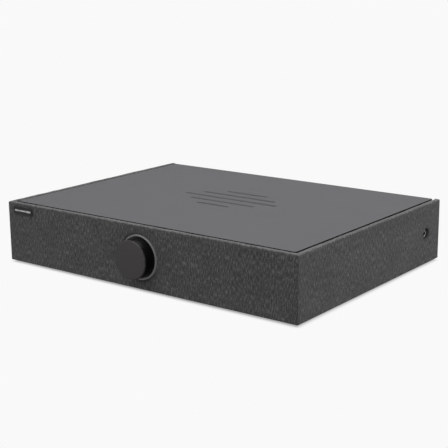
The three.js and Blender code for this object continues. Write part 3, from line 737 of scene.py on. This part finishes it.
def add_cloth():
    mesh = cloth_mesh()
    with editing(mesh) as solid:
        bmesh.ops.remove_doubles(solid, verts=solid.verts, dist=1e-6)
        bmesh.ops.dissolve_degenerate(solid, edges=solid.edges, dist=1e-6)
        loose = [vertex for vertex in solid.verts if not vertex.link_faces]
        bmesh.ops.delete(solid, geom=loose, context="VERTS")
        outermost = max(solid.faces, key=lambda face: face.calc_center_median().x)
        if outermost.normal.x < 0:
            bmesh.ops.reverse_faces(solid, faces=solid.faces)
    relax(mesh)
    mesh.materials.append(LOOKS["charcoal_fabric"].material)
    piece = new_object("cloth_cover", mesh)
    thick = piece.modifiers.new("thickness", "SOLIDIFY")
    thick.thickness = CLOTH_THICKNESS * MM
    thick.offset = -1
    thick.use_even_offset = True
    tools = [cutter(RING_HOLE + RING_DIP, RING_PLACE), cutter(JACK_HOLE, JACK_PLACE)]
    for tool in tools:
        hole = piece.modifiers.new("hole", "BOOLEAN")
        hole.operation = "DIFFERENCE"
        hole.solver = "EXACT"
        hole.object = tool
    mesh = baked(piece)
    for tool in tools:
        bpy.data.objects.remove(tool)
    clear_strays(mesh, STRAY_REACH * MM)
    turned_in_rim(mesh, RING_PLACE, RING_HOLE, RING_DIP, RING_DEPTH, UNDER_HEM - WRAP_LOW.z)
    mesh.shade_smooth()
    mesh.set_sharp_from_angle(angle=CLOTH_SHARP_ANGLE)
    settle(piece, "cabinet", ["fabric_wrap"])


add_cloth()


# ---------- top plate and the pad under it ----------
def add_top():
    low, high = span("top_plate")
    middle = (low + high) / 2
    size = high - low
    plate = Shape()
    place = facing("up", (middle.x, middle.y, 0))
    skin = 0.25  # the grey finish is this thick, on a dark edge
    corner = 2.0
    plate.slab(size.x, size.y, corner, rounded_levels(low.z, high.z - skin, 0.3), place, 1, steps=8)
    plate.slab(size.x - 2 * skin, size.y - 2 * skin, corner - 0.2,
               rounded_levels(high.z - 0.6, high.z, 0.2), place, steps=8)
    plate.make("metal_top_plate", ["grey_plate", "plate_edge"], ["top_plate"])

    bars = Shape()
    lengths = (52, 104, 150, 118, 66)
    pitch, width = 19.0, 5.4
    middle_x, middle_y = 4, 18
    for index, length in enumerate(lengths):
        place = facing("up", (middle_x, middle_y + (index - 2) * pitch, high.z))
        bars.slab(length, width, 2.6, rounded_levels(-0.1, 0.12, 0.06, False), place)
    bars.make("plate_bars", ["plate_mark"])

    low, high = span("isolation_pad")
    middle = (low + high) / 2
    size = high - low
    pad = Shape()
    place = facing("up", (middle.x, middle.y, 0))
    pad.slab(size.x, size.y, 2.0, rounded_levels(low.z, high.z, 0.6), place, steps=8)
    piece = pad.make("foam_pad", ["pad_foam"], ["isolation_pad"])


add_top()


# ---------- volume knob, light ring and badge ----------
def add_front_controls():
    low, high = span("volume_knob")
    outer = (high.x - low.x) / 2
    front = WRAP_LOW.y - low.y
    rear = WRAP_LOW.y - high.y
    seam = front - 1.6
    inside = front - 3.4
    hub, hub_bore, hub_end = 5.5, 3.3, 4.5
    edge = outer - 0.75
    skirt = Shape()
    skirt.lathe(fillet([
        (0, front - 2.0), (9, front - 2.0), (outer - 2.2, front - 2.0), (outer - 2.2, seam),
        (edge, seam, 0.2), (outer, rear, 0.4), (outer - 2.4, rear, 0.3), (outer - 3.4, inside, 0.6),
        (hub, inside, 0.6), (hub, hub_end, 0.3), (hub_bore, hub_end, 0.2), (hub_bore, front - 3.0),
        (0, front - 3.0),
    ]), RING_PLACE, 128)
    skirt.make("knob_skirt", ["gloss_black"], body="knob")
    face = Shape()
    shoulder = 1.5
    base = seam + 0.02
    profile = fillet([(0, base), (edge, base), (edge, front, shoulder), (0, front)], steps=8)
    # The third number of each point is painted shade for the knob face: 0 on the flat face, rising to 1
    # at the rim across the rounded shoulder.
    face.lathe([
        (radius, level, max(0.0, 1 - (edge - radius) / shoulder)) for radius, level, _ in profile
    ], RING_PLACE, 128)
    face.make("knob_face", ["knob_grey"], ["volume_knob"], body="knob")

    low, high = span("light_ring")
    outer = (high.x - low.x) / 2
    inner = outer - 2.4
    edge = 1.15
    front, rear = WRAP_LOW.y - low.y, WRAP_LOW.y - high.y
    ring = Shape()
    ring.lathe(fillet([
        (inner, rear), (outer, rear), (outer, front, edge), (inner, front, edge),
    ]), RING_PLACE, 160, closed=True)
    ring.make("frosted_light_ring", ["frosted_ring"], ["light_ring"])

    low, high = span("badge")
    middle = (low + high) / 2
    width, height = high.x - low.x, high.z - low.z
    depth = high.y - low.y
    place = facing("front", (middle.x, high.y, middle.z))
    badge = Shape()
    badge.slab(width, height, 0.9, [
        (0, 0, 0.0), *rounded_levels(0, depth, 0.35, False)[1:], (0.95, depth, 0.2),
        (1.15, depth - 0.3, 0.0),
    ], place)
    badge.make("badge_tray", ["recess_plastic"], ["badge"])
    dashes = Shape()
    margin, gap, drop = 1.7, 0.8, 0.5
    start = low.x + margin
    for length, tall in ((7.2, 2.3), (12.4, 1.9), (8.4, 2.5)):
        place = facing("front", (start + length / 2, high.y, middle.z - drop))
        dashes.slab(length, tall, 0.5, rounded_levels(depth - 0.4, depth - 0.05, 0.12, False), place)
        start += length + gap
    dashes.make("badge_bar", ["badge_bar"])


add_front_controls()


# ---------- headphone socket ----------
def add_headphone_socket():
    outer = 8.6
    floor_level = -6.5
    cup = Shape()
    cup.lathe(fillet([
        (5.0, -8.0), (outer, -8.0), (outer, -0.15, 0.25), (outer - 1.2, -0.15, 0.4),
        (outer - 1.5, floor_level, 0.8), (5.0, floor_level, 0.2),
    ]), JACK_PLACE, 96, closed=True)
    cup.make("socket_cup", ["cup_plastic"], ["headphone_cup"])
    bushing, mouth, back = 4.5, 3.4, -31.5
    lip = -2.7
    jack = Shape()
    jack.lathe(fillet([
        (mouth, back), (6.9, back, 0.5), (6.9, -8.3), (bushing, -8.3), (bushing, lip, 0.8),
        (mouth, lip - 0.1, 0.25),
    ]), JACK_PLACE, 64, closed=True)
    jack.lathe(fillet([
        (0, -32), (7, -32), (7, -31.4), (3.5, -31.4), (3.5, -3.25), (3.25, -3.45, 0.1), (3.25, -26),
        (0, -26),
    ]), JACK_PLACE, 64, finish=1)
    nut_hole, nut = 4.55, 6.4
    jack.lathe(fillet([
        (nut_hole, -6.4), (nut, -6.4, 0.2), (nut, -5.2, 0.3), (nut_hole, -5.2, 0.2),
    ]), JACK_PLACE, 6, closed=True)
    jack.make("socket_bushing", ["satin_nickel", "gloss_black"], ["headphone_jack"])


add_headphone_socket()


# ---------- underside ----------
CORNERS = ("front_left", "front_right", "rear_left", "rear_right")


def add_underside():
    screws = Shape()
    for corner in CORNERS:
        low, high = span("foot_" + corner)
        middle = (low + high) / 2
        radius = (high.x - low.x) / 2
        place = facing("down", (middle.x, middle.y, high.z))
        depth = high.z - low.z
        floor = depth - 2.0  # of the hollow for the screw
        foot = Shape()
        foot.lathe(fillet([
            (0, 0), (radius, 0, 0.3), (radius - 0.3, depth, 1.0), (6.4, depth, 0.6),
            (5.6, floor, 0.3), (0, floor),
        ]), place, 96)
        foot.make("rubber_foot_" + corner, ["black_rubber"], ["foot_" + corner])
        screws.screw(3.2, facing("down", (middle.x, middle.y, low.z + 2.05)))
    low, high = span("bottom_panel")
    for x in (-150, -50, 50, 150):
        for y in (low.y + 60, high.y - 60):
            screws.screw(3.0, facing("down", (x, y, low.z + 0.2)))
    screws.make("underside_screws", ["black_steel"])

    staples = Shape()
    hem = UNDER_HEM - 3.5
    spots = []
    for x in range(-190, 191, 38):
        spots.append((x, WRAP_LOW.y + hem, 0.0))
    for y in range(-135, 160, 36):
        spots.append((WRAP_HIGH.x - hem, y, math.pi / 2))
        spots.append((WRAP_LOW.x + hem, y, math.pi / 2))
    for x, y, turn in spots:
        skew = 0.12 * math.sin(7 * x + y)  # no two staples lie quite the same
        place = facing("down", (x, y, WRAP_LOW.z + 0.1)) @ Matrix.Rotation(turn + skew, 4, "Z")
        staples.slab(9.5, 0.9, 0.4, rounded_levels(0, 0.5, 0.25, False), place)
    staples.make("hem_staples", ["bright_steel"])


add_underside()


# ---------- back ----------
def add_ports():
    for side in ("left", "right"):
        low, high = span(side + "_port_tube")
        middle = (low + high) / 2
        flange = (high.x - low.x) / 2
        outer, bore = 15.0, 13.2
        back = high.y
        long = high.y - low.y
        place = facing("back", (middle.x, back, middle.z))
        port = Shape()
        port.lathe(fillet([
            (bore + 0.2, -long, 0.6), (outer, -long, 0.6), (outer, -1.2), (flange, -1.2),
            (flange, 0, 0.8), (bore + 2.6, 0, 1.2), (bore, -6, 4.0),
        ]), place, 96, closed=True)
        port.make(side + "_bass_port", ["black_plastic"], [side + "_port_tube"])


def add_jacks(plate_y):
    low, high = span("jack_block")
    middle = (low + high) / 2
    front = high.y
    body = Shape()
    inner_face = span("io_plate")[0].y - 0.3
    size, depth = 32, 12
    body_place = facing("back", (middle.x, inner_face - depth, middle.z))
    body.slab(size, size, 1.2, rounded_levels(0, depth, 0.5), body_place)
    shells = Shape()
    rings = Shape()
    half_pitch = 7.0
    for x in (-half_pitch, half_pitch):
        for z in (-half_pitch, half_pitch):
            tip = facing("back", (middle.x + x, front, middle.z + z))
            length = front - plate_y
            shells.lathe(fillet([
                (3.3, -length - 1.0), (4.15, -length - 1.0), (4.15, 0, 0.35), (3.3, 0, 0.2),
            ]), tip, 64, closed=True)
            shells.lathe(fillet([
                (4.25, 0.1 - length), (6.0, 0.1 - length, 0.2), (6.0, 1.5 - length, 0.3),
                (4.25, 1.5 - length, 0.2),
            ]), tip, 6, closed=True)
            rings.lathe(fillet([
                (1.7, -length), (3.25, -length), (3.25, -0.5, 0.2), (1.7, -0.5, 0.3),
            ]), tip, 48, finish=0 if z > 0 else 1, closed=True)
    body.make("jack_body", ["black_plastic"], ["jack_block"])
    shells.make("jack_shells", ["gilt_brass"])
    rings.make("jack_insulators", ["white_insulator", "red_insulator"])


def add_ground_post(plate_y):
    low, high = span("ground_post")
    middle = (low + high) / 2
    place = facing("back", (middle.x, plate_y, middle.z))
    tip, root = high.y - plate_y, low.y - plate_y
    post = Shape()
    post.lathe(fillet([
        (0, root), (2.0, root, 0.2), (2.0, -4.4), (4.0, -4.4, 0.3), (4.0, -1.9, 0.3), (2.0, -1.9),
        (2.0, 0.35), (4.5, 0.35, 0.2), (4.5, 2.3, 0.4), (2.0, 2.3), (2.0, tip, 0.5), (0, tip),
    ]), place, 64)
    post.make("ground_stud", ["gilt_brass"], ["ground_post"])
    low, high = span("ground_thumb_nut")
    near, far = low.y - plate_y, high.y - plate_y
    nut = Shape()
    levels = [(0.5, near, 0.2), (0.0, near + 0.5, 1.0), (0.0, far - 0.5, 1.0), (0.5, far, 0.2)]
    sides, ridges, ridge_height = 144, 24, 0.16
    rings = []
    for inset, level, wear_and_shade in levels:
        ring = []
        for side in range(sides):
            angle = 2 * math.pi * side / sides
            radius = 4.62 - inset + ridge_height * math.cos(ridges * angle)
            ring.append((radius * math.cos(angle), radius * math.sin(angle), level))
        rings.append((ring, wear_and_shade))
    for radius, level in ((2.7, far), (2.3, far - 0.4), (2.3, near + 0.4), (2.7, near)):
        rings.append((circle(radius, level, sides), 0.2))
    nut.loft(rings, place, closed=True)
    nut.make("knurled_nut", ["gilt_brass"], ["ground_thumb_nut"], body="thumb_nut")


def add_inlet(plate_y):
    """A two-pin mains inlet: a flange, a raised collar and a deep well with two round pins."""
    middle = centre("mains_inlet")
    place = facing("back", (middle.x, plate_y, middle.z))
    housing = Shape()
    well_width, well_height = 18.6, 9.4
    well = well_height / 2 - 0.1
    housing.sections([
        (24, 16, 1, -17.8, 0.0), (24, 16, 1, 0.3, 0.0), (28, 20, 2, 0.3, 0.0), (28, 20, 2, 1.3, 0.2),
        (27.7, 19.7, 1.9, 1.65, 1.0), (27, 19, 1.6, 1.8, 0.2),
        (well_width + 3.6, well_height + 3.6, well + 1.8, 1.8, 0.0),
        (well_width + 3.3, well_height + 3.3, well + 1.6, 2.5, 0.8),
        (well_width + 2.6, well_height + 2.6, well + 1.3, 2.8, 0.4),
        (well_width + 0.8, well_height + 0.8, well + 0.4, 2.8, 0.4),
        (well_width, well_height, well, 2.2, 0.6), (well_width, well_height, well, -11.8, 0.0),
    ], place, steps=10)
    housing.make("inlet_housing", ["black_plastic"], ["mains_inlet"])
    pins = Shape()
    for x in (-4.3, 4.3):
        pin = facing("back", (middle.x + x, plate_y, middle.z))
        pins.lathe(fillet([(0, -12.8), (1.2, -12.8), (1.2, -2.0, 0.8), (0, -2.0)]), pin, 32)
    pins.make("inlet_pins", ["bright_steel"])


def add_power_switch(plate_y):
    middle = centre("power_switch_frame")
    place = facing("back", (middle.x, plate_y, middle.z))
    bezel = Shape()
    bezel.sections([
        (12.4, 18.4, 0.6, -14.0, 0.0), (12.4, 18.4, 0.6, 0.3, 0.0), (15, 21, 1, 0.3, 0.0),
        (15, 21, 1, 1.3, 0.2), (14.7, 20.7, 0.9, 1.65, 1.0), (14, 20, 0.8, 1.8, 0.2),
        (10.9, 17.3, 0.6, 1.8, 0.2), (10.2, 16.6, 0.4, 1.3, 0.8), (10, 16.4, 0.3, 1.0, 0.0),
        (10, 16.4, 0.3, -9.0, 0.0),
    ], place)
    bezel.make("switch_bezel", ["black_plastic"], ["power_switch_frame"])

    tilt = math.radians(8)
    pivot = Vector((middle.x, plate_y - 2.2, middle.z))
    lean = Matrix.Translation(pivot) @ Matrix.Rotation(-tilt, 4, "X") @ Matrix.Translation(-pivot)
    half_width, half_height = 4.6, 7.2
    rocker = Shape()
    slices = [(0.5, -half_width), (0.12, -half_width + 0.18), (0.0, -half_width + 0.6)]
    slices += [(inset, -x) for inset, x in reversed(slices)]
    loops = []
    for inset, x in slices:
        tall = half_height - inset
        ring = [(x, -tall, -1.5 + inset), (x, tall, -1.5 + inset)]
        for step in range(13):
            share = 1 - step / 6
            crown = 3.0 + 1.4 * share * share - 0.25 * math.sin(math.pi * abs(share))
            ring.append((x, tall * share, crown - inset))
        loops.append((ring, 0.5 if 0 < inset < 0.5 else 0.1))
    tipped = lean @ facing("back", pivot)
    rocker.loft(loops, tipped)
    mark = 4.1  # a bar above the pivot and a ring below it, each this far away
    rocker.slab(0.7, 2.6, 0.3, rounded_levels(3.2, 3.68, 0.08, False),
                tipped @ Matrix.Translation((0, mark, 0)), finish=1)
    rocker.lathe([(0.95, 3.2, 0), (1.4, 3.2, 0), (1.4, 3.66, 0), (0.95, 3.66, 0)],
                 tipped @ Matrix.Translation((0, -mark, 0)), 32, finish=1, closed=True)
    rocker.make("rocker_cap", ["black_plastic", "white_insulator"], ["power_rocker"], body="rocker")


def add_input_switch():
    low, high = span("input_slider")
    middle = (low + high) / 2
    place = facing("back", (middle.x, low.y, middle.z))
    width, height = high.x - low.x, high.z - low.z
    reach = high.y - low.y
    lever = Shape()
    lever.slab(width, height, 0.4, rounded_levels(0, reach - 0.5, 0.35), place)
    for x in (-1.2, 0, 1.2):
        ridge = place @ Matrix.Translation((x, 0, 0))
        lever.slab(0.6, height - 0.6, 0.25, rounded_levels(reach - 0.8, reach, 0.2, False), ridge)
    lever.make("input_lever", ["black_plastic"], ["input_slider"], body="input_slider")

    low, high = span("input_switch_body")
    middle = (low + high) / 2
    place = facing("back", (middle.x, high.y, middle.z))
    width, height, depth = high.x - low.x, high.z - low.z, high.y - low.y
    case = Shape()
    case.sections([
        (width - 0.6, height - 0.6, 0.5, -depth, 0.3), (width, height, 0.7, 0.3 - depth, 0.5),
        (width, height, 0.7, -0.3, 0.5), (width - 0.6, height - 0.6, 0.5, 0.0, 0.3),
        (10.9, 4.9, 0.4, 0.0, 0.3), (10.4, 4.4, 0.3, -0.3, 0.4), (10.4, 4.4, 0.3, -5.0, 0.0),
    ], place)
    case.make("input_switch_case", ["bright_steel"], ["input_switch_body"])


def add_rear_screws(plate_y):
    screws = Shape()
    low, high = span("io_plate")
    for x in (-88, -46, 24, 88):
        for z in (low.z + 5, high.z - 5):
            screws.screw(2.6, facing("back", (x, plate_y, z)))
    low, high = span("right_rear_panel")
    for side in (-1, 1):
        for x in (low.x + 8, high.x - 8):
            for z in (low.z + 7, high.z - 7):
                screws.screw(3.2, facing("back", (side * x, high.y, z)))
    screws.make("rear_screws", ["black_steel"])


def add_rear_connectors():
    plate_y = span("io_plate")[1].y
    add_jacks(plate_y)
    add_ground_post(plate_y)
    add_inlet(plate_y)
    add_power_switch(plate_y)
    add_input_switch()
    add_rear_screws(plate_y)


add_ports()
add_rear_connectors()


# ---------- finishes of the CAD nodes that stay ----------
slots = {row["node"]: row["material_slot"] for row in frame["record"]["subparts"]}
painted = ("left_side_panel", "right_side_panel")  # their ends show beside the lid
for node, cad_object in frame["nodes"].items():
    if not cad_object.material_slots:
        cad_object.data.materials.append(None)
    for material_slot in cad_object.material_slots:
        material_slot.material = LOOKS["black_board" if node in painted else slots[node]].material


# ---------- floor and light ----------
BACKDROP = tone(249, 249, 249)
CONTACT_REACH = 0.0055
OBJECT_MIDDLE = Vector((0, 0, 0.04))
LIGHTS = (  # name, place, size in metres, power in watts
    ("overhead", (-0.05, 0.0, 2.5), (2.6, 2.2), 88),
    ("right_side", (2.6, 0.3, 1.1), (1.6, 1.4), 19),
    ("front_fill", (-0.9, -2.6, 1.3), (2.0, 1.2), 17),
    ("back_fill", (1.7, 2.2, 1.6), (2.0, 1.2), 14),
)


def add_floor():
    """A plain pale floor that glows evenly, with a painted contact shadow where its glow darkens close
    under the object.
    """
    size = 40.0
    level = -0.0001
    mesh = bpy.data.meshes.new("floor")
    corners = [(x * size, y * size, level) for x, y in ((-1, -1), (1, -1), (1, 1), (-1, 1))]
    mesh.from_pydata(corners, [], [(0, 1, 2, 3)])
    floor = new_object("floor", mesh)
    floor.visible_diffuse = False
    floor.visible_glossy = False
    material = bpy.data.materials.new("floor")
    material.use_nodes = True
    tree = material.node_tree
    tree.nodes.clear()
    out = tree.nodes.new("ShaderNodeOutputMaterial")
    contact = tree.nodes.new("ShaderNodeAmbientOcclusion")
    contact.samples = 16
    contact.inputs["Distance"].default_value = CONTACT_REACH
    shade = tree.nodes.new("ShaderNodeValToRGB")
    elements = shade.color_ramp.elements
    elements[0].position, elements[0].color = 0.15, (0.2, 0.2, 0.2, 1)
    elements[1].position, elements[1].color = 0.98, (*BACKDROP, 1)
    for position, level in ((0.3, 0.6), (0.6, 0.79), (0.9, 0.925)):
        elements.new(position).color = (level, level, level, 1)
    glow = tree.nodes.new("ShaderNodeEmission")
    tree.links.new(contact.outputs["AO"], shade.inputs[0])
    tree.links.new(shade.outputs[0], glow.inputs["Color"])
    tree.links.new(glow.outputs[0], out.inputs["Surface"])
    mesh.materials.append(material)


def add_world():
    """Even soft light from all round, seen by the camera as the same pale grey as the floor."""
    world = bpy.data.worlds.new("studio")
    world.use_nodes = True
    tree = world.node_tree
    sky = tree.nodes["Background"]
    sky.inputs["Color"].default_value = (1, 1, 1, 1)
    sky.inputs["Strength"].default_value = 0.35
    seen = tree.nodes.new("ShaderNodeBackground")
    seen.inputs["Color"].default_value = (*BACKDROP, 1)
    ray = tree.nodes.new("ShaderNodeLightPath")
    either = tree.nodes.new("ShaderNodeMixShader")
    tree.links.new(ray.outputs["Is Camera Ray"], either.inputs[0])
    tree.links.new(sky.outputs[0], either.inputs[1])
    tree.links.new(seen.outputs[0], either.inputs[2])
    tree.links.new(either.outputs[0], tree.nodes["World Output"].inputs["Surface"])
    bpy.context.scene.world = world


def add_light(name, place, size, power):
    """A soft panel of light aimed at the middle of the object."""
    data = bpy.data.lights.new(name, "AREA")
    data.shape = "RECTANGLE"
    data.size, data.size_y = size
    data.energy = power
    light = new_object(name, data)
    light.location = place
    way = OBJECT_MIDDLE - Vector(place)
    light.rotation_euler = way.to_track_quat("-Z", "Y").to_euler()


add_floor()
add_world()
for lamp in LIGHTS:
    add_light(*lamp)
